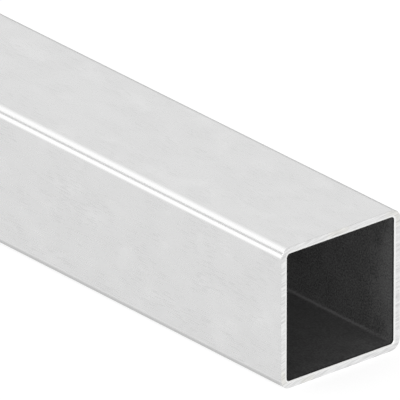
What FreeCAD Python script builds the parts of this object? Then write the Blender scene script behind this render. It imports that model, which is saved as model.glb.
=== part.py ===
import FreeCAD, Part
import math
import os
from enum import Enum, IntEnum, auto

import Sketcher
from FreeCAD import Vector

# Square steel tube: one straight length of cold-formed hollow section.
#
# The frame has +X along the tube and +Z up. The origin is in the middle of the tube's length
# and width, on the plane of its bottom face, so that the tube lies on z = 0.

# Driving dimensions in millimetres: alias, value, meaning
DIMENSIONS = (
    ("tube_length", 1000.0, "length between the two sawn ends"),
    ("outer_side", 40.0, "width and height over the flat sides"),
    ("wall", 2.0, "thickness of the strip that the tube is formed from"),
    ("inner_bend", 1.0, "radius on the inside of each formed corner"),
    ("end_break", 0.25, "width of the broken edges round each sawn end, outside and in the bore"),
)
SHEET = "Dimensions"
NODE = "square_tube"


class Point(IntEnum):
    """The points that a sketch knows a line or an arc by."""

    START = auto()
    END = auto()
    CENTRE = auto()


class Axis(IntEnum):
    """A sketch's own axes, as geometry."""

    HORIZONTAL = -1
    VERTICAL = -2


class Piece(Enum):
    """The lines and arcs of one loop of the section, in order, going anticlockwise."""

    BOTTOM = auto()
    BOTTOM_RIGHT = auto()
    RIGHT = auto()
    TOP_RIGHT = auto()
    TOP = auto()
    TOP_LEFT = auto()
    LEFT = auto()
    BOTTOM_LEFT = auto()


def make_sheet(doc):
    """Write the driving dimensions into a spreadsheet, one aliased cell each."""
    sheet = doc.addObject("Spreadsheet::Sheet", SHEET)
    for row, (alias, value, meaning) in enumerate(DIMENSIONS, start=1):
        sheet.set(f"A{row}", meaning)
        sheet.set(f"B{row}", str(value))
        sheet.setAlias(f"B{row}", alias)
    doc.recompute()
    return sheet


def origin_plane(body, role):
    """Find one of the body's own origin planes by its role."""
    return next(plane for plane in body.Origin.OriginFeatures if plane.Role == role)


def constrain(sketch, kind, *arguments):
    """Add one constraint to the sketch and return its number."""
    return sketch.addConstraint(Sketcher.Constraint(kind, *arguments))


def constrain_size(sketch, name, kind, *arguments):
    """Add a size to the sketch and bind it to the spreadsheet's cell of the same name."""
    sketch.renameConstraint(constrain(sketch, kind, *arguments), name)
    sketch.setExpression(f"Constraints.{name}", f"{SHEET}.{name}")


def corner_arc(across, up, radius, start):
    """Make a quarter circle about a corner's centre, anticlockwise from its start angle."""
    circle = Part.Circle(Vector(across, up), Vector(0, 0, 1), radius)
    return Part.ArcOfCircle(circle, start, start + math.pi / 2)


def draw_loop(sketch, side, radius, base):
    """Draw a square with round corners that stays one, and return its pieces by name.

    It is centred on the vertical axis and its bottom line lies at the height of the base.
    """
    half = side / 2
    reach = half - radius
    bottom, top = base, base + side
    low, high = bottom + radius, top - radius
    pieces = {
        Piece.BOTTOM: Part.LineSegment(Vector(-reach, bottom), Vector(reach, bottom)),
        Piece.BOTTOM_RIGHT: corner_arc(reach, low, radius, -math.pi / 2),
        Piece.RIGHT: Part.LineSegment(Vector(half, low), Vector(half, high)),
        Piece.TOP_RIGHT: corner_arc(reach, high, radius, 0),
        Piece.TOP: Part.LineSegment(Vector(reach, top), Vector(-reach, top)),
        Piece.TOP_LEFT: corner_arc(-reach, high, radius, math.pi / 2),
        Piece.LEFT: Part.LineSegment(Vector(-half, high), Vector(-half, low)),
        Piece.BOTTOM_LEFT: corner_arc(-reach, low, radius, math.pi),
    }
    loop = {name: sketch.addGeometry(geometry) for name, geometry in pieces.items()}

    # Each piece runs smoothly into the next one, and the last one into the first
    numbers = list(loop.values())
    for number, following in zip(numbers, numbers[1:] + numbers[:1]):
        constrain(sketch, "Tangent", number, Point.END, following, Point.START)
    constrain(sketch, "Horizontal", loop[Piece.TOP])
    constrain(sketch, "Vertical", loop[Piece.RIGHT])
    constrain(sketch, "Vertical", loop[Piece.LEFT])
    for name in (Piece.TOP_RIGHT, Piece.TOP_LEFT, Piece.BOTTOM_LEFT):
        constrain(sketch, "Equal", loop[Piece.BOTTOM_RIGHT], loop[name])
    return loop


def make_section(body, sheet):
    """Sketch the tube's section: two loops, one wall apart, that share their corner centres.

    The strip is bent over the inner radius, so the outer corner is rounder by one wall, and the
    wall keeps its thickness round the bend.
    """
    sketch = body.newObject("Sketcher::SketchObject", "Section")
    sketch.AttachmentSupport = (origin_plane(body, "YZ_Plane"), [""])
    sketch.MapMode = "FlatFace"

    side, wall, bend = sheet.outer_side, sheet.wall, sheet.inner_bend
    outer = draw_loop(sketch, side, bend + wall, 0)
    inner = draw_loop(sketch, side - 2 * wall, bend, wall)

    # The outer loop is square, centred on the vertical axis, and stands on the horizontal one
    outer_bottom = outer[Piece.BOTTOM]
    constrain(sketch, "Symmetric", outer_bottom, Point.START, outer_bottom, Point.END, Axis.VERTICAL)
    constrain(sketch, "PointOnObject", outer_bottom, Point.START, Axis.HORIZONTAL)
    constrain(sketch, "Equal", outer_bottom, outer[Piece.RIGHT])

    # The inner loop shares its corner centres, and two opposite ones settle the rest
    inner_bottom = inner[Piece.BOTTOM]
    constrain(sketch, "Horizontal", inner_bottom)
    for name in (Piece.BOTTOM_LEFT, Piece.TOP_RIGHT):
        constrain(sketch, "Coincident", outer[name], Point.CENTRE, inner[name], Point.CENTRE)

    left, right = outer[Piece.LEFT], outer[Piece.RIGHT]
    constrain_size(
        sketch, "outer_side", "DistanceX", left, Point.START, right, Point.START, side
    )
    constrain_size(
        sketch, "wall", "DistanceY", outer_bottom, Point.START, inner_bottom, Point.START, wall
    )
    constrain_size(sketch, "inner_bend", "Radius", inner[Piece.BOTTOM_RIGHT], bend)
    return sketch


def make_length(body, section):
    """Run the section along the tube, half its length to each side of the origin."""
    pad = body.newObject("PartDesign::Pad", "Length")
    pad.Profile = section
    pad.SideType = "Symmetric"
    pad.setExpression("Length", f"{SHEET}.tube_length")
    return pad


def end_faces(shape):
    """Name the two sawn ends: the faces that lie furthest along the tube each way."""
    places = [face.CenterOfMass.x for face in shape.Faces]
    return [f"Face{places.index(place) + 1}" for place in (min(places), max(places))]


def break_ends(body, pad):
    """Take the burr off every edge of both sawn ends, round the outside and round the bore."""
    chamfer = body.newObject("PartDesign::Chamfer", "EndBreak")
    chamfer.Base = (pad, end_faces(pad.Shape))
    chamfer.setExpression("Size", f"{SHEET}.end_break")
    return chamfer


def check_document(doc):
    """Stop if any object of the document failed to compute."""
    for item in doc.Objects:
        if {"Invalid", "Error"} & set(item.State):
            raise RuntimeError(f"{item.Label} failed: {item.State}")


def check_tube(shape, sheet):
    """Stop if the tube isn't one valid solid with the box and volume that its sizes give."""
    if shape.isNull() or not shape.isValid() or len(shape.Solids) != 1:
        raise RuntimeError("the tube is not one valid solid")
    length, side, wall = sheet.tube_length, sheet.outer_side, sheet.wall
    bend, end_break = sheet.inner_bend, sheet.end_break

    box = shape.BoundBox
    wanted = (-length / 2, length / 2, -side / 2, side / 2, 0, side)
    measured = (box.XMin, box.XMax, box.YMin, box.YMax, box.ZMin, box.ZMax)
    if any(abs(a - b) > wall / 100 for a, b in zip(wanted, measured)):
        raise RuntimeError(f"the tube's box is {measured}")

    # A round corner leaves out (1 - pi / 4) of the square on its radius
    corners_left_out = 4 - math.pi
    outer_area = side**2 - corners_left_out * (bend + wall) ** 2
    bore_area = (side - 2 * wall) ** 2 - corners_left_out * bend**2
    uncut = (outer_area - bore_area) * length
    # Each end loses a small triangle of section along a line outside and one in the bore
    longest_lines = 2 * 4 * (side + side)
    most_lost = longest_lines * end_break**2 / 2
    if not uncut - most_lost < shape.Volume < uncut:
        raise RuntimeError(f"the volume is {shape.Volume:.1f}, not just under {uncut:.1f}")
    print(f"section {outer_area - bore_area:.1f} mm2, volume {shape.Volume:.0f} mm3")


def main():
    doc = FreeCAD.newDocument("SquareTube")
    sheet = make_sheet(doc)

    body = doc.addObject("PartDesign::Body", "Tube")
    body.Label = NODE
    body.Placement = FreeCAD.Placement()
    section = make_section(body, sheet)
    doc.recompute()
    if not section.FullyConstrained:
        raise RuntimeError("the section is not fully constrained")
    pad = make_length(body, section)
    doc.recompute()
    break_ends(body, pad)
    doc.recompute()

    check_document(doc)
    check_tube(body.Shape, sheet)

    os.makedirs("parts", exist_ok=True)
    body.Shape.exportStep(f"parts/{body.Label}.step")
    print(f"wrote {body.Label}")


main()
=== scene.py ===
"""A square steel tube: cold-formed, bright outside, dark in the bore and sawn off at its ends."""

import logging
import math
from dataclasses import dataclass, field
from enum import IntEnum
from typing import Any

import bmesh
import bpy
from mathutils import Matrix, Vector, noise


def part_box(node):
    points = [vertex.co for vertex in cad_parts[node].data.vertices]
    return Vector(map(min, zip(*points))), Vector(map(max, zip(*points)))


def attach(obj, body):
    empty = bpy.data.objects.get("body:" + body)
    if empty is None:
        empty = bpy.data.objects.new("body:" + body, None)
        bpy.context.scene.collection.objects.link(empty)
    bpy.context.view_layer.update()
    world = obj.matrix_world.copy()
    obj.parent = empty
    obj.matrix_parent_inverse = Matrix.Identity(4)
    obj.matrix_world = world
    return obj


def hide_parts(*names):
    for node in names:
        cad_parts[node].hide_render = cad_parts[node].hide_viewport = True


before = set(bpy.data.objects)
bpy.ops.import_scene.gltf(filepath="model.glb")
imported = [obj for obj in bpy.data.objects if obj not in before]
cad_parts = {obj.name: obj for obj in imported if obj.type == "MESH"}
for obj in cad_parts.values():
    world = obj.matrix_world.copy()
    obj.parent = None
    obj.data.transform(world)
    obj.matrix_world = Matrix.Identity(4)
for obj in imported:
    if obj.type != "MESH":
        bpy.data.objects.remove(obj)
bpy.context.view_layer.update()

log = logging.getLogger("square_tube")

Tree = bpy.types.NodeTree
Socket = bpy.types.NodeSocket
Sockets = bpy.types.NodeOutputs

MM = 0.001
NODE = "square_tube"
SAW_MARKS = "saw_marks"
COOLANT = "dried_coolant"
WHITE = "#FFFFFF"
AXIS_HEIGHT = 20.0 * MM
# A noise texture keeps mostly between the outer two of these values, round the middle one
NOISE_LOW, NOISE_MIDDLE, NOISE_HIGH = 0.35, 0.5, 0.65
# A face looks along the tube if its normal's X is over the first, and squarely if over the second
END_ON, SQUARE_ON = 0.5, 0.98
# A point lies in a plane when it is no further off than this
IN_PLANE = 0.001 * MM
# Two lengths count as the same when they differ by less than this share
SAME_LENGTH = 0.1
# The profile that makes a bevel round
ROUND = 0.5
# Settings of a MapRange that eases in and out, and of a Mix of colours or of numbers
SMOOTH = {"interpolation_type": "SMOOTHSTEP"}
COLOURS = {"data_type": "RGBA"}
NUMBERS = {"data_type": "FLOAT"}


def linear(hex_colour: str) -> tuple[float, float, float, float]:
    """Turn an sRGB hex colour into Blender's linear one.

    Args:
        hex_colour: six hex digits after a hash sign.

    Returns:
        Linear red, green and blue, and an alpha of one.
    """
    values = [int(hex_colour[place:place + 2], 16) / 255 for place in (1, 3, 5)]
    red, green, blue = (
        value / 12.92 if value <= 0.04045 else ((value + 0.055) / 1.055) ** 2.4
        for value in values
    )
    return red, green, blue, 1.0


def add_node(
    tree: Tree,
    kind: str,
    settings: dict[str, Any] | None = None,
    inputs: dict[str | int, Any] | None = None,
) -> bpy.types.Node:
    """Add a shader node, with its settings, its values and its links.

    Args:
        tree: the node tree that it goes into.
        kind: its type without the common beginning, such as "TexNoise".
        settings: attributes of the node itself.
        inputs: by socket name or number, a plain value or the socket to link from.

    Returns:
        The new node.
    """
    node = tree.nodes.new(f"ShaderNode{kind}")
    for name, value in (settings or {}).items():
        setattr(node, name, value)
    for name, value in (inputs or {}).items():
        socket = node.inputs[name]
        if isinstance(value, Socket):
            tree.links.new(value, socket)
        else:
            socket.default_value = value
    return node


def new_material(name: str) -> bpy.types.Material:
    """Make an empty node material.

    Args:
        name: the material's name.

    Returns:
        The material, without any node.
    """
    material = bpy.data.materials.new(name)
    material.use_nodes = True
    material.node_tree.nodes.clear()
    return material


def add_object(name: str, data: bpy.types.ID) -> bpy.types.Object:
    """Make an object and link it to the scene.

    Args:
        name: the object's name.
        data: its mesh, light or camera.

    Returns:
        The object, at the origin.
    """
    item = bpy.data.objects.new(name, data)
    bpy.context.scene.collection.objects.link(item)
    log.info("%s added", name)
    return item


def add_mesh(name: str, bm: bmesh.types.BMesh) -> bpy.types.Object:
    """Turn a finished bmesh into an object, and free it.

    Args:
        name: the name of the object and of its mesh.
        bm: the bmesh, which can't be used afterwards.

    Returns:
        The mesh's object, at the origin.
    """
    mesh = bpy.data.meshes.new(name)
    bm.to_mesh(mesh)
    bm.free()
    return add_object(name, mesh)


def from_axis(tree: Tree, axes: Sockets) -> tuple[Socket, Socket]:
    """Measure how far a point lies from the tube's axis, whichever way.

    Args:
        tree: the material's nodes.
        axes: the point's X, Y and Z, in Object coordinates.

    Returns:
        The distance across the tube, and the distance up or down.
    """
    across = add_node(tree, "Math", {"operation": "ABSOLUTE"}, {0: axes["Y"]}).outputs[0]
    up = add_node(tree, "Math", {"operation": "ABSOLUTE"}, {
        0: add_node(tree, "Math", {"operation": "SUBTRACT"}, {
            0: axes["Z"], 1: AXIS_HEIGHT,
        }).outputs[0],
    }).outputs[0]
    return across, up


def smooth_step(value: float, start: float, end: float) -> float:
    """Rise smoothly from 0 at the start to 1 at the end.

    Args:
        value: the place between them.
        start: where the rise begins.
        end: where it is complete.

    Returns:
        A number from 0 to 1.
    """
    share = min(max((value - start) / (end - start), 0.0), 1.0)
    return share * share * (3 - 2 * share)


class Skin(IntEnum):
    """The tube's finishes, in the order of its material slots."""

    FLAT = 0
    CORNER = 1
    BORE = 2
    SAWN = 3
    FILED = 4


@dataclass(frozen=True)
class Finish:
    """What all the tube's finishes share: a name and one principled shader."""

    name: str

    def surface(self, tree: Tree) -> dict[str, Any]:
        """Work out the shader's inputs, which each finish does in its own way.

        Args:
            tree: the material's nodes.

        Returns:
            By input name, a plain value or the socket to link from.
        """
        raise NotImplementedError

    def material(self) -> bpy.types.Material:
        """Build the material.

        Returns:
            The finished node material.
        """
        material = new_material(self.name)
        tree = material.node_tree
        shader = add_node(tree, "BsdfPrincipled", inputs=self.surface(tree))
        add_node(tree, "OutputMaterial", inputs={"Surface": shader.outputs["BSDF"]})
        return material


@dataclass(frozen=True)
class ColdRolledSteel(Finish):
    """Bright cold-rolled strip steel, formed between smooth rolls and lightly oiled.

    It gives the eye a pale neutral grey with a soft, almost matt shine, faint clouds where the
    oil dried, paler smudges where it was wiped, and short scuffs along the tube, in patches,
    where the rolls dragged. Round the bends the rolls press hardest, so a corner can take a
    burnish: smoother than the flats beside it, and painted brighter round the bend, a painted
    highlight.
    """

    name: str = "cold_rolled_steel"
    light: str = "#DDDDDD"
    dark: str = "#DBDBDB"
    wiped: str = "#E1E1E1"
    scuffed: str = "#D6D6D6"
    roughness: float = 0.28
    roughness_spread: float = 0.03
    # A burnish makes the bends smoother, and paints them brighter: a painted highlight
    burnish_with_painted_highlight: bool = False
    painted_corner_highlight: str = "#F0F0F0"
    burnished_roughness: float = 0.26
    # How far from the tube's axis the painted highlight on a bend starts, and where it is
    # brightest
    side_bend_mm: tuple[float, float] = (17.0, 17.7)
    top_bend_mm: tuple[float, float] = (17.7, 18.6)
    cloud_mm: tuple[float, float, float] = (10.0, 6.0, 6.0)
    cloud_detail: float = 3.0
    smudge_mm: tuple[float, float, float] = (10.0, 7.0, 7.0)
    smudge_detail: float = 4.0
    # Real roll scuffs are about 0.1 mm wide, too fine to show: these are as wide as they need be
    scuff_mm: tuple[float, float, float] = (3.4, 0.38, 0.38)
    scuff_detail: float = 1.0
    # The values of each pattern at which it starts to show, and shows in full
    smudges_show: tuple[float, float] = (0.48, 0.78)
    scuffs_show: tuple[float, float] = (0.5, 0.72)
    # Scuffs show only where the clouds are dark
    clouds_bare: tuple[float, float] = (0.58, 0.42)
    scuffs_shine: tuple[float, float] = (0.3, 0.7)
    relief_mm: float = 0.0015

    def bend_depth(self, tree: Tree, place: Socket) -> Socket:
        """Tell how far round a bend a point lies.

        Args:
            tree: the material's nodes.
            place: the point, in Object coordinates.

        Returns:
            A socket that is 0 on the flats and 1 where the bend's painted highlight is brightest.
        """
        axes = add_node(tree, "SeparateXYZ", inputs={"Vector": place}).outputs
        across, up = from_axis(tree, axes)
        from_side, from_top = (
            add_node(tree, "MapRange", SMOOTH, {
                "Value": distance, "From Min": start * MM, "From Max": bright * MM,
            }).outputs["Result"]
            for distance, (start, bright) in ((up, self.side_bend_mm), (across, self.top_bend_mm))
        )
        return add_node(tree, "Math", {"operation": "MINIMUM"}, {
            0: from_side, 1: from_top,
        }).outputs[0]

    def flat_colour(self, tree: Tree, clouds: Socket, smudges: Socket, scuffs: Socket) -> Socket:
        """Lay the smudges and the scuffs over the clouded steel.

        Args:
            tree: the material's nodes.
            clouds: the pattern of the dried oil.
            smudges: the pattern of the wiping.
            scuffs: the pattern of the rolls' dragging.

        Returns:
            The colour's socket.
        """
        smudging, scuffing, bare = (
            add_node(tree, "MapRange", SMOOTH, {
                "Value": pattern, "From Min": start, "From Max": full,
            }).outputs["Result"]
            for pattern, (start, full) in (
                (smudges, self.smudges_show),
                (scuffs, self.scuffs_show),
                (clouds, self.clouds_bare),
            )
        )
        in_patches = add_node(tree, "Math", {"operation": "MULTIPLY"}, {
            0: scuffing, 1: bare,
        }).outputs[0]
        tone = add_node(tree, "MapRange", inputs={
            "Value": clouds, "From Min": NOISE_LOW, "From Max": NOISE_HIGH,
        }).outputs["Result"]
        colour = linear(self.dark)
        for factor, shade in (
            (tone, self.light), (smudging, self.wiped), (in_patches, self.scuffed),
        ):
            colour = add_node(tree, "Mix", COLOURS, {
                "Factor": factor, "A": colour, "B": linear(shade),
            }).outputs["Result"]
        return colour

    def surface(self, tree: Tree) -> dict[str, Any]:
        """Work out the shader's inputs.

        Args:
            tree: the material's nodes.

        Returns:
            By input name, a plain value or a socket.
        """
        place = add_node(tree, "TexCoord").outputs["Object"]
        clouds, smudges, scuffs = (
            add_node(tree, "TexNoise", inputs={
                "Vector": add_node(tree, "Mapping", inputs={
                    "Vector": place, "Scale": tuple(1 / (size * MM) for size in sizes),
                }).outputs["Vector"],
                "Scale": 1.0,
                "Detail": detail,
            }).outputs["Fac"]
            for sizes, detail in (
                (self.cloud_mm, self.cloud_detail),
                (self.smudge_mm, self.smudge_detail),
                (self.scuff_mm, self.scuff_detail),
            )
        )
        colour = self.flat_colour(tree, clouds, smudges, scuffs)
        dull, shiny = self.scuffs_shine
        roughness = add_node(tree, "MapRange", inputs={
            "Value": scuffs,
            "From Min": dull,
            "From Max": shiny,
            "To Min": self.roughness + self.roughness_spread / 2,
            "To Max": self.roughness - self.roughness_spread / 2,
        }).outputs["Result"]
        if self.burnish_with_painted_highlight:
            depth = self.bend_depth(tree, place)
            # A painted highlight: the colour brightens round the bend
            colour = add_node(tree, "Mix", COLOURS, {
                "Factor": depth, "A": colour, "B": linear(self.painted_corner_highlight),
            }).outputs["Result"]
            roughness = add_node(tree, "Mix", NUMBERS, {
                "Factor": depth, "A": roughness, "B": self.burnished_roughness,
            }).outputs["Result"]
        bump = add_node(tree, "Bump", inputs={
            "Height": scuffs, "Strength": 1.0, "Distance": self.relief_mm * MM,
        }).outputs["Normal"]
        return {"Base Color": colour, "Metallic": 1.0, "Roughness": roughness, "Normal": bump}


@dataclass(frozen=True)
class BoreScale(Finish):
    """The dark oxide left inside the tube, which no roll has polished.

    It gives the eye a dull, grainy near-black that takes what little light the mouth lets in,
    with a paler line along each bend, partly where the oxide cracks in forming and partly a
    painted highlight. It is a little darker towards the mouths, a painted shade, but the walls are
    paler just inside them, a painted light, behind a thin near-black line. A pale dust lies on the
    bottom and hides its grain; its tone is darker on one side than on the other, a painted shadow.
    """

    name: str = "dark_oxide"
    half_length_mm: float = 500.0
    light: str = "#646464"
    dark: str = "#292929"
    # The paler tone: oxide cracks along the bends with a painted highlight there, and painted
    # light at the mouth
    pale_oxide_and_painted_light: str = "#696969"
    thin_dark_line: str = "#121212"
    roughness: float = 0.6
    # Real oxide grains are about 0.05 mm: these specks are as coarse as they need to be to show
    speck_mm: float = 0.45
    blotch_mm: float = 5.0
    blotch_share: float = 0.15
    detail: float = 3.0
    relief_mm: float = 0.02
    # How far from the axis the bend line starts and is palest; it is partly oxide cracks, partly a
    # painted highlight
    bend_starts_mm: float = 17.3
    bend_middle_mm: float = 17.65
    # How much of the paler tone shows where the specks are dark, and where they are pale
    paler_by_specks: tuple[float, float] = (0.4, 1.05)
    # How far in from the mouth the bend line fades and the painted light reaches, and how much
    # further both do in places
    line_fades_mm: float = 30.0
    painted_light_reach_mm: float = 10.0
    ragged_mm: float = 20.0
    # How much paler the walls are at the mouth, a painted light, and how much darker the rest is
    # there, a painted shade
    painted_mouth_light: float = 0.5
    painted_mouth_shade: float = 0.04
    # How far from the mouth the thin dark line starts, and where it is black
    dark_line_starts_mm: float = 0.9
    filed_mm: float = 0.5
    # The dust on the bottom: where it ends, how thick it lies, and its tones, darker at the mouth;
    # its lean to +Y is a painted shadow, darker on the -Y side
    bottom_mm: float = 2.0
    dust_edge_mm: float = 1.0
    dust: float = 0.5
    dust_at_mouth: float = 0.5
    dust_deep: float = 0.56
    painted_shadow_lean: float = 0.12
    side_reach_mm: float = 18.0

    def toward_mouth(self, tree: Tree, from_middle: Socket, blotches: Socket) -> tuple[Socket, Socket]:
        """Tell how the bend line fades and the walls' painted light grows towards a mouth.

        Args:
            tree: the material's nodes.
            from_middle: how far along the tube a point lies from its middle.
            blotches: the coarse pattern. Where it is pale, both reach further in.

        Returns:
            A socket that falls from 1 deep inside to 0 at the mouth, and one that rises from 0
            to how pale the walls are painted there, a painted light.
        """
        ragged_from_middle = add_node(tree, "Math", {"operation": "MULTIPLY_ADD"}, {
            0: add_node(tree, "Math", {"operation": "SUBTRACT"}, {
                0: blotches, 1: NOISE_MIDDLE,
            }).outputs[0],
            1: self.ragged_mm * MM,
            2: from_middle,
        }).outputs[0]
        # The second is a painted light: the walls paler just inside the mouth
        fading, mouth_light = (
            add_node(tree, "MapRange", SMOOTH, {
                "Value": ragged_from_middle,
                "From Min": (self.half_length_mm - reach) * MM,
                "From Max": self.half_length_mm * MM,
                "To Min": deep,
                "To Max": at_mouth,
            }).outputs["Result"]
            for reach, deep, at_mouth in (
                (self.line_fades_mm, 1.0, 0.0), (self.painted_light_reach_mm, 0.0, self.painted_mouth_light),
            )
        )
        return fading, mouth_light

    def dusted(self, tree: Tree, axes: Sockets, specks: Socket, fading: Socket) -> Socket:
        """Cover the specks on the bottom with dust.

        Args:
            tree: the material's nodes.
            axes: a point's X, Y and Z, in Object coordinates.
            specks: the fine pattern.
            fading: 1 deep inside, and 0 at the mouth.

        Returns:
            The fine pattern, evened out by the dust's tone on the bottom, which a painted shadow
            darkens towards -Y.
        """
        on_bottom = add_node(tree, "MapRange", inputs={
            "Value": axes["Z"],
            "From Min": (self.bottom_mm + self.dust_edge_mm) * MM,
            "From Max": self.bottom_mm * MM,
        }).outputs["Result"]
        tone = add_node(tree, "MapRange", inputs={
            "Value": fading, "To Min": self.dust_at_mouth, "To Max": self.dust_deep,
        }).outputs["Result"]
        # A painted shadow: the dust's tone darkens towards -Y
        lean = add_node(tree, "MapRange", inputs={
            "Value": axes["Y"],
            "From Min": -self.side_reach_mm * MM,
            "From Max": self.side_reach_mm * MM,
            "To Min": -self.painted_shadow_lean,
            "To Max": self.painted_shadow_lean,
        }).outputs["Result"]
        return add_node(tree, "Mix", NUMBERS, {
            "Factor": add_node(tree, "Math", {"operation": "MULTIPLY"}, {
                0: on_bottom, 1: self.dust,
            }).outputs[0],
            "A": specks,
            "B": add_node(tree, "Math", {"operation": "ADD"}, {0: tone, 1: lean}).outputs[0],
        }).outputs["Result"]

    def oxide_colour(self, tree: Tree, specks: Socket, blotches: Socket, fading: Socket) -> Socket:
        """Colour the whole oxide by its patterns, a little darker towards the mouths: a painted
        shade.

        Args:
            tree: the material's nodes.
            specks: the fine pattern.
            blotches: the coarse pattern.
            fading: 1 deep inside, and 0 at the mouth.

        Returns:
            The colour's socket.
        """
        pattern = add_node(tree, "Mix", NUMBERS, {
            "Factor": self.blotch_share, "A": specks, "B": blotches,
        }).outputs["Result"]
        # A painted shade: the oxide darkens towards the mouths
        darker = add_node(tree, "MapRange", inputs={
            "Value": fading, "To Min": self.painted_mouth_shade, "To Max": 0.0,
        }).outputs["Result"]
        tone = add_node(tree, "MapRange", inputs={
            "Value": add_node(tree, "Math", {"operation": "SUBTRACT"}, {
                0: pattern, 1: darker,
            }).outputs[0],
            "From Min": NOISE_LOW,
            "From Max": NOISE_HIGH,
        }).outputs["Result"]
        return add_node(tree, "Mix", COLOURS, {
            "Factor": tone, "A": linear(self.dark), "B": linear(self.light),
        }).outputs["Result"]

    def paler_tone_with_painted_light(
        self, tree: Tree, axes: Sockets, specks: Socket, fading: Socket, mouth_light: Socket,
    ) -> Socket:
        """Tell how much of the paler tone shows: oxide cracks and a painted highlight on the
        bends, and painted light on the walls at the mouth.

        Args:
            tree: the material's nodes.
            axes: a point's X, Y and Z, in Object coordinates.
            specks: the fine pattern.
            fading: 1 deep inside, and 0 at the mouth.
            mouth_light: how pale the walls are painted at the mouth, a painted light.

        Returns:
            A socket that is 0 where the oxide keeps its own tone.
        """
        across, up = from_axis(tree, axes)
        # The pale line along each bend: partly oxide cracks, partly a painted highlight
        bend = add_node(tree, "MapRange", SMOOTH, {
            "Value": add_node(tree, "Math", {"operation": "MINIMUM"}, {
                0: across, 1: up,
            }).outputs[0],
            "From Min": self.bend_starts_mm * MM,
            "From Max": self.bend_middle_mm * MM,
        }).outputs["Result"]
        off_bottom = add_node(tree, "MapRange", inputs={
            "Value": axes["Z"],
            "From Min": self.bottom_mm * MM,
            "From Max": (self.bottom_mm + self.dust_edge_mm) * MM,
        }).outputs["Result"]
        # Towards the mouth the bend line's painted highlight fades into the walls' painted light
        paler = add_node(tree, "Math", {"operation": "MAXIMUM"}, {
            0: add_node(tree, "Math", {"operation": "MULTIPLY"}, {0: bend, 1: fading}).outputs[0],
            1: add_node(tree, "Math", {"operation": "MULTIPLY"}, {
                0: mouth_light, 1: off_bottom,
            }).outputs[0],
        }).outputs[0]
        least, most = self.paler_by_specks
        speckled_paler = add_node(tree, "MapRange", inputs={
            "Value": specks,
            "From Min": NOISE_LOW,
            "From Max": NOISE_HIGH,
            "To Min": least,
            "To Max": most,
        }).outputs["Result"]
        return add_node(tree, "Math", {"operation": "MULTIPLY"}, {0: paler, 1: speckled_paler}).outputs[0]

    def surface(self, tree: Tree) -> dict[str, Any]:
        """Work out the shader's inputs.

        Args:
            tree: the material's nodes.

        Returns:
            By input name, a plain value or a socket.
        """
        place = add_node(tree, "TexCoord").outputs["Object"]
        specks, blotches = (
            add_node(tree, "TexNoise", inputs={
                "Vector": place, "Scale": 1 / (size * MM), "Detail": self.detail,
            }).outputs["Fac"]
            for size in (self.speck_mm, self.blotch_mm)
        )
        axes = add_node(tree, "SeparateXYZ", inputs={"Vector": place}).outputs
        from_middle = add_node(tree, "Math", {"operation": "ABSOLUTE"}, {0: axes["X"]}).outputs[0]
        fading, mouth_light = self.toward_mouth(tree, from_middle, blotches)
        specks = self.dusted(tree, axes, specks, fading)
        # The paler tone over the oxide: painted highlight on the bends, painted light at the mouth
        oxide_and_painted_light = add_node(tree, "Mix", COLOURS, {
            "Factor": self.paler_tone_with_painted_light(tree, axes, specks, fading, mouth_light),
            "A": self.oxide_colour(tree, specks, blotches, fading),
            "B": linear(self.pale_oxide_and_painted_light),
        }).outputs["Result"]
        # A thin near-black line just inside each mouth
        thin_dark_line = add_node(tree, "Mix", COLOURS, {
            "Factor": add_node(tree, "MapRange", inputs={
                "Value": from_middle,
                "From Min": (self.half_length_mm - self.dark_line_starts_mm) * MM,
                "From Max": (self.half_length_mm - self.filed_mm) * MM,
            }).outputs["Result"],
            "A": oxide_and_painted_light,
            "B": linear(self.thin_dark_line),
        }).outputs["Result"]
        bump = add_node(tree, "Bump", inputs={
            "Height": specks, "Strength": 1.0, "Distance": self.relief_mm * MM,
        }).outputs["Normal"]
        return {"Base Color": thin_dark_line, "Roughness": self.roughness, "Normal": bump}


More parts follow.
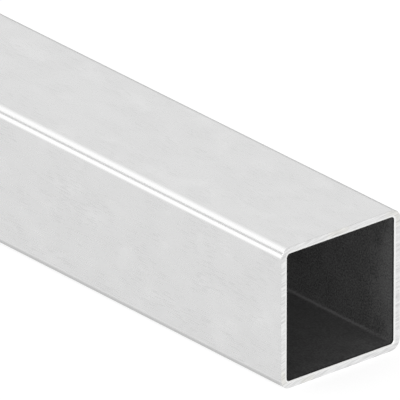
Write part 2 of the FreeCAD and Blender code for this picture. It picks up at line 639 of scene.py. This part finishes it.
@dataclass(frozen=True)
class SawnSteel(Finish):
    """Bare steel as the saw leaves it, bright, with shallow curved marks across the cut.

    It gives the eye a paler grey than the flats, banded lighter and darker along the marks,
    with a faint straw tint in patches where the coolant dried.
    """

    name: str = "sawn_steel"
    light: str = "#F5F5F5"
    dark: str = "#CDCDCD"
    stain: str = "#FDFCF8"
    roughness: float = 0.34
    # Real tooth scratches are about 0.1 mm apart: these are as wide as they need to be to show
    scratch_mm: float = 0.3
    scratch_length_mm: float = 3.0
    scratch_tilt: float = -10.0
    scratch_detail: float = 2.0
    scratch_share: float = 0.25
    relief_mm: float = 0.004

    def surface(self, tree: Tree) -> dict[str, Any]:
        """Work out the shader's inputs.

        Args:
            tree: the material's nodes.

        Returns:
            By input name, a plain value or a socket.
        """
        place = add_node(tree, "TexCoord").outputs["Object"]
        marks, coolant = (
            add_node(tree, "Attribute", {"attribute_name": name}).outputs["Fac"]
            for name in (SAW_MARKS, COOLANT)
        )
        scratches = add_node(tree, "TexNoise", inputs={
            "Vector": add_node(tree, "Mapping", inputs={
                "Vector": place,
                "Rotation": (math.radians(self.scratch_tilt), 0.0, 0.0),
                "Scale": (1.0, 1 / (self.scratch_length_mm * MM), 1 / (self.scratch_mm * MM)),
            }).outputs["Vector"],
            "Scale": 1.0,
            "Detail": self.scratch_detail,
        }).outputs["Fac"]
        tone = add_node(tree, "Mix", NUMBERS, {
            "Factor": self.scratch_share, "A": marks, "B": scratches,
        }).outputs["Result"]
        clean = add_node(tree, "Mix", COLOURS, {
            "Factor": tone, "A": linear(self.dark), "B": linear(self.light),
        }).outputs["Result"]
        colour = add_node(tree, "Mix", {"data_type": "RGBA", "blend_type": "MULTIPLY"}, {
            "Factor": coolant, "A": clean, "B": linear(self.stain),
        }).outputs["Result"]
        bump = add_node(tree, "Bump", inputs={
            "Height": scratches, "Strength": 1.0, "Distance": self.relief_mm * MM,
        }).outputs["Normal"]
        return {"Base Color": colour, "Metallic": 1.0, "Roughness": self.roughness, "Normal": bump}


@dataclass(frozen=True)
class FiledEdge(Finish):
    """The thin bright line where the burr was filed off.

    It gives the eye a clean, nearly white rim round the dark bore, with faint nicks.
    """

    name: str = "filed_edge"
    light: str = "#FAFAF9"
    dark: str = "#EDEDEC"
    roughness: float = 0.36
    nick_mm: float = 0.8
    detail: float = 2.0

    def surface(self, tree: Tree) -> dict[str, Any]:
        """Work out the shader's inputs.

        Args:
            tree: the material's nodes.

        Returns:
            By input name, a plain value or a socket.
        """
        strokes = add_node(tree, "TexNoise", inputs={
            "Vector": add_node(tree, "TexCoord").outputs["Object"],
            "Scale": 1 / (self.nick_mm * MM),
            "Detail": self.detail,
        }).outputs["Fac"]
        colour = add_node(tree, "Mix", COLOURS, {
            "Factor": strokes, "A": linear(self.dark), "B": linear(self.light),
        }).outputs["Result"]
        return {"Base Color": colour, "Metallic": 1.0, "Roughness": self.roughness}


@dataclass(frozen=True)
class SawCut:
    """The curved marks that a saw's teeth leave across one end of the tube.

    They are arcs round the place where the blade's axis stood, below the tube. Each family of
    marks has a spacing across them, a length along them and a share of the depth, and each
    stain of dried coolant has its place and its reach. One tooth has scored the face deeper.
    """

    blade_y: float = 37.0 * MM
    blade_z: float = -180.0 * MM
    families: tuple[tuple[float, float, float], ...] = (
        (0.75 * MM, 9.0 * MM, 0.38), (0.4 * MM, 6.0 * MM, 0.8), (0.24 * MM, 3.0 * MM, 0.75),
    )
    depth: float = 0.03 * MM
    mean_height: float = 0.58
    seed: float = 26.08
    seed_step: float = 5.0
    score_y: float = 19.0 * MM
    score_z: float = 15.0 * MM
    score_width: float = 0.16 * MM
    score_length: float = 2.5 * MM
    score_depth: float = 0.9
    stains: tuple[tuple[float, float, float], ...] = (
        (18.5 * MM, 38.0 * MM, 4.5 * MM),
        (-1.0 * MM, 39.0 * MM, 4.5 * MM),
        (-19.5 * MM, 3.5 * MM, 3.5 * MM),
        (-11.0 * MM, 1.5 * MM, 3.5 * MM),
    )
    stain_seed_step: float = 30.0
    stain_grain: float = 1.5 * MM
    stain_ragged: float = 0.3
    stain_full: float = 0.7

    def height(self, y: float, z: float) -> float:
        """Tell how much of the face the teeth left standing at a point.

        Args:
            y: the point's place across the tube.
            z: its height.

        Returns:
            1 on the untouched face, and 0 at the bottom of the deepest mark.
        """
        radius = math.hypot(y - self.blade_y, z - self.blade_z)
        along = math.atan2(z - self.blade_z, y - self.blade_y) * radius
        value = self.mean_height
        for number, (spacing, run, share) in enumerate(self.families):
            seed = self.seed + self.seed_step * number
            value += share * noise.noise(Vector((radius / spacing, along / run, seed)))

        # The score runs along its own arc, and fades over a few millimetres of it
        score = math.hypot(self.score_y - self.blade_y, self.score_z - self.blade_z)
        off_line = (radius - score) / self.score_width
        away = math.hypot(y - self.score_y, z - self.score_z) / self.score_length
        value -= self.score_depth * math.exp(-off_line * off_line - away * away)
        return min(max(value, 0.0), 1.0)

    def stain(self, y: float, z: float) -> float:
        """Tell how much coolant dried at a point.

        Args:
            y: the point's place across the tube.
            z: its height.

        Returns:
            0 where the steel is clean, and up to 1 in the middle of a stain.
        """
        seed = self.seed + self.stain_seed_step
        place = Vector((y / self.stain_grain, z / self.stain_grain, seed))
        ragged = self.stain_ragged * noise.noise(place)
        return max(
            smooth_step(
                1 - math.hypot(y - stain_y, z - stain_z) / reach + ragged, 0.0, self.stain_full,
            )
            for stain_y, stain_z, reach in self.stains
        )


@dataclass
class SteelTube:
    """The tube: four flats and four formed corners round an open bore, sawn at both ends."""

    wall: float = 2.0 * MM
    inner_bend: float = 1.0 * MM
    bore_break: float = 0.25 * MM
    outer_break: float = 0.1 * MM
    break_steps: int = 2
    # The faces of a broken edge lie within this many of its widths from the end
    break_reach: float = 1.5
    lip: float = 0.3 * MM
    end_grain: float = 0.16 * MM
    corner_steps: int = 18
    low: Vector = field(default_factory=lambda: Vector(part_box(NODE)[0]))
    high: Vector = field(default_factory=lambda: Vector(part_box(NODE)[1]))
    # The cut at each end, by the sign of its X
    cuts: dict[int, SawCut] = field(default_factory=lambda: {
        1: SawCut(),
        -1: SawCut(
            blade_y=-24.0 * MM,
            seed=40.0,
            score_y=-19.0 * MM,
            stains=((-19.0 * MM, 36.0 * MM, 5.0 * MM), (9.0 * MM, 1.0 * MM, 5.0 * MM)),
        ),
    })

    @property
    def length(self) -> float:
        """The tube's length, as packed."""
        return self.high.x - self.low.x

    @property
    def side(self) -> float:
        """The width of the square outside, as packed."""
        return self.high.z - self.low.z

    @property
    def middle(self) -> Vector:
        """The centre of the tube's box."""
        return (self.low + self.high) / 2

    def end_plane(self, sign: int) -> float:
        """Give the place along X of the sawn end at +X (1) or -X (-1)."""
        return self.middle.x + sign * self.length / 2

    def beside_bore(self, vert: bmesh.types.BMVert) -> bool:
        """Tell whether a point lies in the inner half of the wall."""
        across, up = abs(vert.co.y - self.middle.y), abs(vert.co.z - self.middle.z)
        return max(across, up) < (self.side - self.wall) / 2

    def end_edges(self, bm: bmesh.types.BMesh, sign: int) -> list[bmesh.types.BMEdge]:
        """Find the edges that lie in one sawn end.

        Args:
            bm: the mesh.
            sign: 1 for the end at +X, -1 for the other.

        Returns:
            The edges in that end's plane.
        """
        plane = self.end_plane(sign)
        return [
            edge for edge in bm.edges
            if all(abs(vert.co.x - plane) < IN_PLANE for vert in edge.verts)
        ]

    def add_shell(self, bm: bmesh.types.BMesh, side: float, bend: float, inward: bool) -> None:
        """Add one open square shell with round corners, as long as the tube.

        Args:
            bm: the mesh that it goes into.
            side: its width and height over the flats.
            bend: its corner radius.
            inward: whether its faces look towards the tube's axis.
        """
        others = set(bm.faces)
        size = Matrix.Diagonal((self.length, side, side, 1.0))
        box = bmesh.ops.create_cube(bm, size=1.0, matrix=Matrix.Translation(self.middle) @ size)
        bm.normal_update()
        corners = set(box["verts"])
        caps = [
            face for face in bm.faces
            if set(face.verts) <= corners and abs(face.normal.x) > END_ON
        ]
        bmesh.ops.delete(bm, geom=caps, context="FACES_ONLY")
        long_edges = [
            edge for edge in bm.edges
            if edge.verts[0] in corners and edge.calc_length() > 2 * side
        ]
        bmesh.ops.bevel(
            bm, geom=long_edges, offset=bend, segments=self.corner_steps,
            profile=ROUND, affect="EDGES", material=-1,
        )
        # Strips as narrow as the end's grain let the saw marks run on without odd-sided faces
        flat = side - 2 * bend
        mine = {face for face in bm.faces if face not in others}
        crosswise = [
            edge for edge in bm.edges
            if abs(edge.calc_length() - flat) < flat * SAME_LENGTH
            and mine.issuperset(edge.link_faces)
        ]
        bmesh.ops.subdivide_edges(
            bm, edges=crosswise, cuts=round(flat / self.end_grain) - 1, use_grid_fill=True,
        )
        if inward:
            mine = [face for face in bm.faces if face not in others]
            bmesh.ops.reverse_faces(bm, faces=mine)

    def close_ends(self, bm: bmesh.types.BMesh) -> None:
        """Join the two shells at both ends, and break the edges round each end.

        Args:
            bm: the mesh with its two open shells.
        """
        for sign in (1, -1):
            bmesh.ops.bridge_loops(bm, edges=self.end_edges(bm, sign))
        bm.normal_update()
        rims = [
            edge for sign in (1, -1) for edge in self.end_edges(bm, sign)
            if abs(edge.link_faces[0].normal.x - edge.link_faces[1].normal.x) > END_ON
        ]
        bore_rims = [edge for edge in rims if self.beside_bore(edge.verts[0])]
        outer_rims = [edge for edge in rims if not self.beside_bore(edge.verts[0])]
        for edges, size in ((bore_rims, self.bore_break), (outer_rims, self.outer_break)):
            bmesh.ops.bevel(
                bm, geom=edges, offset=size, segments=self.break_steps,
                profile=ROUND, affect="EDGES", material=-1,
            )
        width = self.wall - self.bore_break - self.outer_break
        through_wall = [
            edge for sign in (1, -1) for edge in self.end_edges(bm, sign)
            if abs(edge.calc_length() - width) < width * SAME_LENGTH
        ]
        bmesh.ops.subdivide_edges(
            bm, edges=through_wall, cuts=round(width / self.end_grain), use_grid_fill=True,
        )
        bmesh.ops.recalc_face_normals(bm, faces=bm.faces)
        bm.normal_update()

    def name_faces(self, bm: bmesh.types.BMesh) -> None:
        """Give each face the slot of its finish, by where it lies.

        Args:
            bm: the closed mesh, before the saw has marked it.
        """
        flat_reach = self.side / 2 - self.wall - self.inner_bend
        end = self.length / 2
        for face in bm.faces:
            place = face.calc_center_median() - self.middle
            across, up = abs(place.y), abs(place.z)
            outward = place.y * face.normal.y + place.z * face.normal.z > 0
            if abs(face.normal.x) > SQUARE_ON:
                face.material_index = Skin.SAWN
            elif abs(place.x) > end - self.break_reach * self.outer_break and outward:
                face.material_index = Skin.SAWN
            elif abs(place.x) > end - self.break_reach * self.bore_break and not outward:
                face.material_index = Skin.FILED
            elif not outward:
                face.material_index = Skin.BORE
            elif min(across, up) > flat_reach:
                face.material_index = Skin.CORNER
            else:
                face.material_index = Skin.FLAT

    def file_lip(self, bm: bmesh.types.BMesh) -> None:
        """Let the file's bright line run a little way onto the sawn face round each mouth.

        Args:
            bm: the mesh with its finishes named.
        """
        for _ in range(round(self.lip / self.end_grain)):
            filed = {
                vert for face in bm.faces if face.material_index == Skin.FILED
                for vert in face.verts
            }
            for face in bm.faces:
                if face.material_index == Skin.SAWN and filed.intersection(face.verts):
                    face.material_index = Skin.FILED

    def mark_ends(self, bm: bmesh.types.BMesh) -> None:
        """Cut the saw's marks into both ends, and keep how deep they go for their finish.

        Args:
            bm: the mesh with its finishes named.
        """
        marks = bm.verts.layers.float.new(SAW_MARKS)
        coolant = bm.verts.layers.float.new(COOLANT)
        for sign, cut in self.cuts.items():
            plane = self.end_plane(sign)
            for vert in bm.verts:
                if abs(vert.co.x - plane) < IN_PLANE:
                    height = cut.height(vert.co.y, vert.co.z)
                    vert[marks] = height
                    vert[coolant] = cut.stain(vert.co.y, vert.co.z)
                    vert.co.x -= sign * (1 - height) * cut.depth

    def build(self) -> bpy.types.Object:
        """Make the tube's mesh.

        Returns:
            The tube's object, without its finishes.
        """
        bm = bmesh.new()
        self.add_shell(bm, self.side, self.inner_bend + self.wall, inward=False)
        self.add_shell(bm, self.side - 2 * self.wall, self.inner_bend, inward=True)
        self.close_ends(bm)
        self.name_faces(bm)
        self.file_lip(bm)
        self.mark_ends(bm)
        for face in bm.faces:
            face.smooth = True
        tube = add_mesh("square_tube_skin", bm)
        tube.modifiers.new("even_shading", "WEIGHTED_NORMAL")
        return tube

    def dress(self, tube: bpy.types.Object) -> None:
        """Give the tube its finishes, in the order of Skin.

        Args:
            tube: the object from build().
        """
        rolled = ColdRolledSteel()
        # The corners: a burnish, with a painted highlight round each bend
        burnish_with_painted_highlight = ColdRolledSteel(name="roll_burnish_and_painted_highlight", burnish_with_painted_highlight=True)
        scale = BoreScale(half_length_mm=self.length / 2 / MM)
        for finish in (rolled, burnish_with_painted_highlight, scale, SawnSteel(), FiledEdge()):
            tube.data.materials.append(finish.material())
        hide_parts(NODE)
        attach(tube, "root")
        log.info("%s: %d faces", tube.name, len(tube.data.polygons))


@dataclass(frozen=True)
class Stand:
    """Where a softbox or the camera stands, seen from what it faces.

    Its azimuth is in degrees from -Y, going round to +X, and its elevation in degrees up.
    """

    azimuth: float
    elevation: float
    distance: float

    def hold(self, item: bpy.types.Object, target: Vector) -> None:
        """Put a light or a camera there, and turn it to its target.

        Args:
            item: the light or the camera.
            target: the point that it faces.
        """
        around, above = math.radians(self.azimuth), math.radians(self.elevation)
        back = Vector((
            math.sin(around) * math.cos(above),
            -math.cos(around) * math.cos(above),
            math.sin(above),
        ))
        item.location = target + back * self.distance
        item.rotation_mode = "QUATERNION"
        item.rotation_quaternion = (-back).to_track_quat("-Z", "Y")


@dataclass(frozen=True)
class Softbox:
    """A square softbox, some way off from what it lights. At level 1 it shines white."""

    name: str
    stand: Stand
    width: float
    level: float

    def build(self, target: Vector) -> None:
        """Stand the light off from its target and turn it there.

        Args:
            target: the point that it faces.
        """
        light = bpy.data.lights.new(self.name, "AREA")
        light.shape = "SQUARE"
        light.size = self.width
        light.energy = self.level * math.pi * self.width ** 2
        lamp = add_object(self.name, light)
        self.stand.hold(lamp, target)
        lamp.visible_camera = False


@dataclass(frozen=True)
class Strip:
    """Where a long panel hangs beside or over the tube: between two angles round its axis.

    The angles are in degrees from +Y, going up.
    """

    first_angle: float
    last_angle: float
    distance: float = 2.2
    length: float = 9.0

    @property
    def width(self) -> float:
        """How wide the panel is, to fill its angles from its distance."""
        return 2 * self.distance * math.tan(math.radians(self.last_angle - self.first_angle) / 2)

    def place(self, target: Vector) -> Matrix:
        """Work out where the panel hangs, with its +Z away from the target.

        Args:
            target: the point that it faces.

        Returns:
            The panel's placement.
        """
        turn = math.radians(self.first_angle + self.last_angle) / 2
        away = Vector((0.0, math.cos(turn), math.sin(turn)))
        sideways = Vector((0.0, -math.sin(turn), math.cos(turn)))
        turned = Matrix((sideways, Vector((1.0, 0.0, 0.0)), away)).transposed()
        return Matrix.Translation(target + away * self.distance) @ turned.to_4x4()


@dataclass(frozen=True)
class StripLight:
    """A long softbox, which draws a bright band along each of the tube's corners."""

    name: str
    strip: Strip
    level: float

    def build(self, target: Vector) -> None:
        """Hang the light and turn it to the tube.

        Args:
            target: the point that it faces.
        """
        light = bpy.data.lights.new(self.name, "AREA")
        light.shape = "RECTANGLE"
        light.size = self.strip.width
        light.size_y = self.strip.length
        light.energy = self.level * math.pi * self.strip.width * self.strip.length
        lamp = add_object(self.name, light)
        lamp.matrix_world = self.strip.place(target)
        lamp.visible_camera = False


@dataclass(frozen=True)
class Card:
    """A plain grey card that only the tube's shine sees, to keep white out of a place."""

    name: str
    width: float
    length: float
    colour: str

    def build(self, place: Matrix) -> None:
        """Put the card up, where only the tube's shine can see it.

        Args:
            place: its placement, from lying flat round the origin.
        """
        bm = bmesh.new()
        # A grid of this size is a metre square, and is then scaled to the card's own
        bmesh.ops.create_grid(bm, x_segments=1, y_segments=1, size=0.5)
        bmesh.ops.scale(bm, vec=(self.width, self.length, 1.0), verts=bm.verts)
        bmesh.ops.transform(bm, matrix=place, verts=bm.verts)
        card = add_mesh(self.name, bm)
        material = new_material(f"{self.name}_face")
        tree = material.node_tree
        face = add_node(tree, "Emission", inputs={"Color": linear(self.colour)})
        add_node(tree, "OutputMaterial", inputs={"Surface": face.outputs[0]})
        # The card only shows itself, so no light is looked for on it
        material.cycles.emission_sampling = "NONE"
        card.data.materials.append(material)
        card.visible_camera = False
        card.visible_diffuse = False
        card.visible_shadow = False


@dataclass
class Studio:
    """A plain pale studio: paper floor, white surroundings, softboxes and grey cards."""

    # The middle of the tube, and how far it reaches each way along X and Y
    target: Vector
    half_length: float
    half_width: float
    floor_size: float = 14.0
    floor_colour: str = "#E6E6E6"
    # The ground's own light for the camera, and its grey for the light that falls on it
    floor_glow: float = 0.75
    floor_grey: str = "#A0A0A0"
    # The same for the tube's shine, with a pool of light in front and a dim line by the tube
    floor_shine: float = 0.88
    shine_grey: str = "#595959"
    pool_starts: float = 0.055
    pool_full: float = 0.18
    # The same for the tube's shine, with a painted pool of light in front and a painted shadow
    # line by the tube
    pool: float = 0.24
    painted_shadow_width: float = 0.003
    painted_shadow_level: float = 0.5
    shown_white: float = 1.0
    fill: float = 0.75
    between: Strip = Strip(140.5, 161.0)
    between_grey: str = "#CCCCCC"
    behind: Strip = Strip(-6.5, 20.0, distance=0.16)
    behind_grey: str = "#C6C6C6"
    end_card_off: float = 1.2
    end_card_size: tuple[float, float] = (1.0, 1.4)
    end_card_grey: str = "#D0D0D0"
    overhead_light: StripLight = StripLight("overhead_softbox", Strip(99.0, 141.0), 0.16)
    side_light: StripLight = StripLight("side_softbox", Strip(161.0, 181.0), 0.25)
    end_light: Softbox = Softbox("end_softbox", Stand(63.0, 13.0, 3.0), 1.0, 12.4)

    def add_floor(self) -> None:
        """Lay the floor under the tube."""
        bm = bmesh.new()
        bmesh.ops.create_grid(bm, x_segments=1, y_segments=1, size=self.floor_size / 2)
        floor = add_mesh("floor", bm)
        floor.data.materials.append(self.floor_material())

    def seen_rays(self, tree: Tree) -> tuple[Socket, Socket]:
        """Tell which rays show the surroundings rather than gather light from them.

        Args:
            tree: the nodes of the floor or the world.

        Returns:
            A socket that is 1 for camera rays, and one that is 1 for all rays that show.
        """
        rays = add_node(tree, "LightPath").outputs
        shine = add_node(tree, "Math", {"operation": "MAXIMUM"}, {
            0: rays["Is Glossy Ray"], 1: rays["Is Transmission Ray"],
        }).outputs[0]
        return rays["Is Camera Ray"], add_node(tree, "Math", {"operation": "MAXIMUM"}, {
            0: rays["Is Camera Ray"], 1: shine,
        }).outputs[0]

    def shine_level(self, tree: Tree) -> Socket:
        """Tell how bright the tube's shine sees the floor, with a painted shadow and a painted
        pool of light.

        Args:
            tree: the floor's nodes.

        Returns:
            The level's socket.
        """
        axes = add_node(tree, "SeparateXYZ", inputs={
            "Vector": add_node(tree, "TexCoord").outputs["Object"],
        }).outputs
        # A painted shadow: the floor dims right beside the tube
        near = 1.0
        for axis, start, end in (
            ("X", -self.half_length, -self.half_length + self.painted_shadow_width),
            ("X", self.half_length, self.half_length - self.painted_shadow_width),
            ("Y", -self.half_width - self.painted_shadow_width, -self.half_width),
            ("Y", self.half_width + self.painted_shadow_width, self.half_width),
        ):
            near = add_node(tree, "Math", {"operation": "MINIMUM"}, {
                0: near,
                1: add_node(tree, "MapRange", SMOOTH, {
                    "Value": axes[axis], "From Min": start, "From Max": end,
                }).outputs["Result"],
            }).outputs[0]
        # A painted pool of light: further out in front, the paper is brighter
        pool = add_node(tree, "MapRange", SMOOTH, {
            "Value": axes["Y"],
            "From Min": -self.half_width - self.pool_starts,
            "From Max": -self.half_width - self.pool_full,
            "To Min": self.floor_shine,
            "To Max": self.floor_shine + self.pool,
        }).outputs["Result"]
        return add_node(tree, "Mix", NUMBERS, {
            "Factor": near, "A": pool, "B": self.painted_shadow_level,
        }).outputs["Result"]

    def floor_material(self) -> bpy.types.Material:
        """Build matt white paper that shows as the white ground, but keeps a soft shadow.

        Returns:
            The finished node material.
        """
        material = new_material("white_paper")
        # The paper only shows itself, so no light is looked for on it
        material.cycles.emission_sampling = "NONE"
        tree = material.node_tree
        camera, seen = self.seen_rays(tree)
        paper = add_node(tree, "BsdfDiffuse", inputs={"Color": linear(self.floor_colour)})
        level = self.shine_level(tree)
        glow = add_node(tree, "Emission", inputs={
            "Color": linear(WHITE),
            "Strength": add_node(tree, "Mix", NUMBERS, {
                "Factor": camera, "A": level, "B": self.floor_glow,
            }).outputs["Result"],
        })
        lit = add_node(tree, "BsdfDiffuse", inputs={
            "Color": add_node(tree, "Mix", COLOURS, {
                "Factor": camera, "A": linear(self.shine_grey), "B": linear(self.floor_grey),
            }).outputs["Result"],
        })
        shown = add_node(tree, "MixShader", inputs={
            0: seen,
            1: paper.outputs[0],
            2: add_node(tree, "AddShader", inputs={
                0: glow.outputs[0], 1: lit.outputs[0],
            }).outputs[0],
        })
        sided = add_node(tree, "MixShader", inputs={
            0: add_node(tree, "NewGeometry").outputs["Backfacing"],
            1: shown.outputs[0],
            2: add_node(tree, "BsdfTransparent").outputs[0],
        })
        add_node(tree, "OutputMaterial", inputs={"Surface": sided.outputs[0]})
        return material

    def add_world(self) -> None:
        """Surround the scene with white that lights it at a plain level."""
        world = bpy.data.worlds.new("white_room")
        # An even room lights as well without rays aimed at it, and with less grain
        world.cycles.sampling_method = "NONE"
        bpy.context.scene.world = world
        world.use_nodes = True
        tree = world.node_tree
        tree.nodes.clear()
        _, seen = self.seen_rays(tree)
        white = add_node(tree, "Background", inputs={
            "Color": linear(WHITE),
            "Strength": add_node(tree, "MapRange", inputs={
                "Value": seen, "To Min": self.fill, "To Max": self.shown_white,
            }).outputs["Result"],
        })
        add_node(tree, "OutputWorld", inputs={"Surface": white.outputs[0]})

    def add_cards(self) -> None:
        """Put up the grey cards: between the strips, low behind the tube, and off each end."""
        for name, strip, grey in (
            ("card_between", self.between, self.between_grey),
            ("card_behind", self.behind, self.behind_grey),
        ):
            Card(name, strip.width, strip.length, grey).build(strip.place(self.target))
        # Without a card the sawn face, seen end on, is as white as what it reflects
        upright = Matrix.Rotation(math.radians(90.0), 4, "Y")
        for name, sign in (("card_right", 1), ("card_left", -1)):
            off = Vector((sign * (self.half_length + self.end_card_off), 0.0, 0.0))
            card = Card(name, *self.end_card_size, self.end_card_grey)
            card.build(Matrix.Translation(self.target + off) @ upright)

    def build(self) -> None:
        """Set up the floor, the surroundings, the cards and the lights."""
        self.add_floor()
        self.add_world()
        self.add_cards()
        self.overhead_light.build(self.target)
        self.side_light.build(self.target)
        self.end_light.build(self.target + Vector((self.half_length, 0.0, 0.0)))


@dataclass
class ProductCamera:
    """A long lens, far enough off that the tube's edges stay nearly parallel."""

    stand: Stand = Stand(50.026, 24.932, 4.70035)
    lens: float = 1650.0
    target: Vector = field(default_factory=lambda: Vector((0.468593, -0.020763, 0.043081)))

    def build(self) -> None:
        """Place the camera and make it the scene's own."""
        data = bpy.data.cameras.new("product_camera")
        data.lens = self.lens
        camera = add_object("product_camera", data)
        self.stand.hold(camera, self.target)
        bpy.context.scene.camera = camera


def main() -> None:
    """Build the tube, its studio and the camera, in that order."""
    logging.basicConfig(level=logging.INFO, format="%(name)s: %(message)s")
    bpy.context.scene.view_settings.view_transform = "Standard"
    steel = SteelTube()
    tube = steel.build()
    steel.dress(tube)
    Studio(steel.middle, steel.length / 2, steel.side / 2).build()
    ProductCamera().build()


if __name__ == "__main__":
    main()
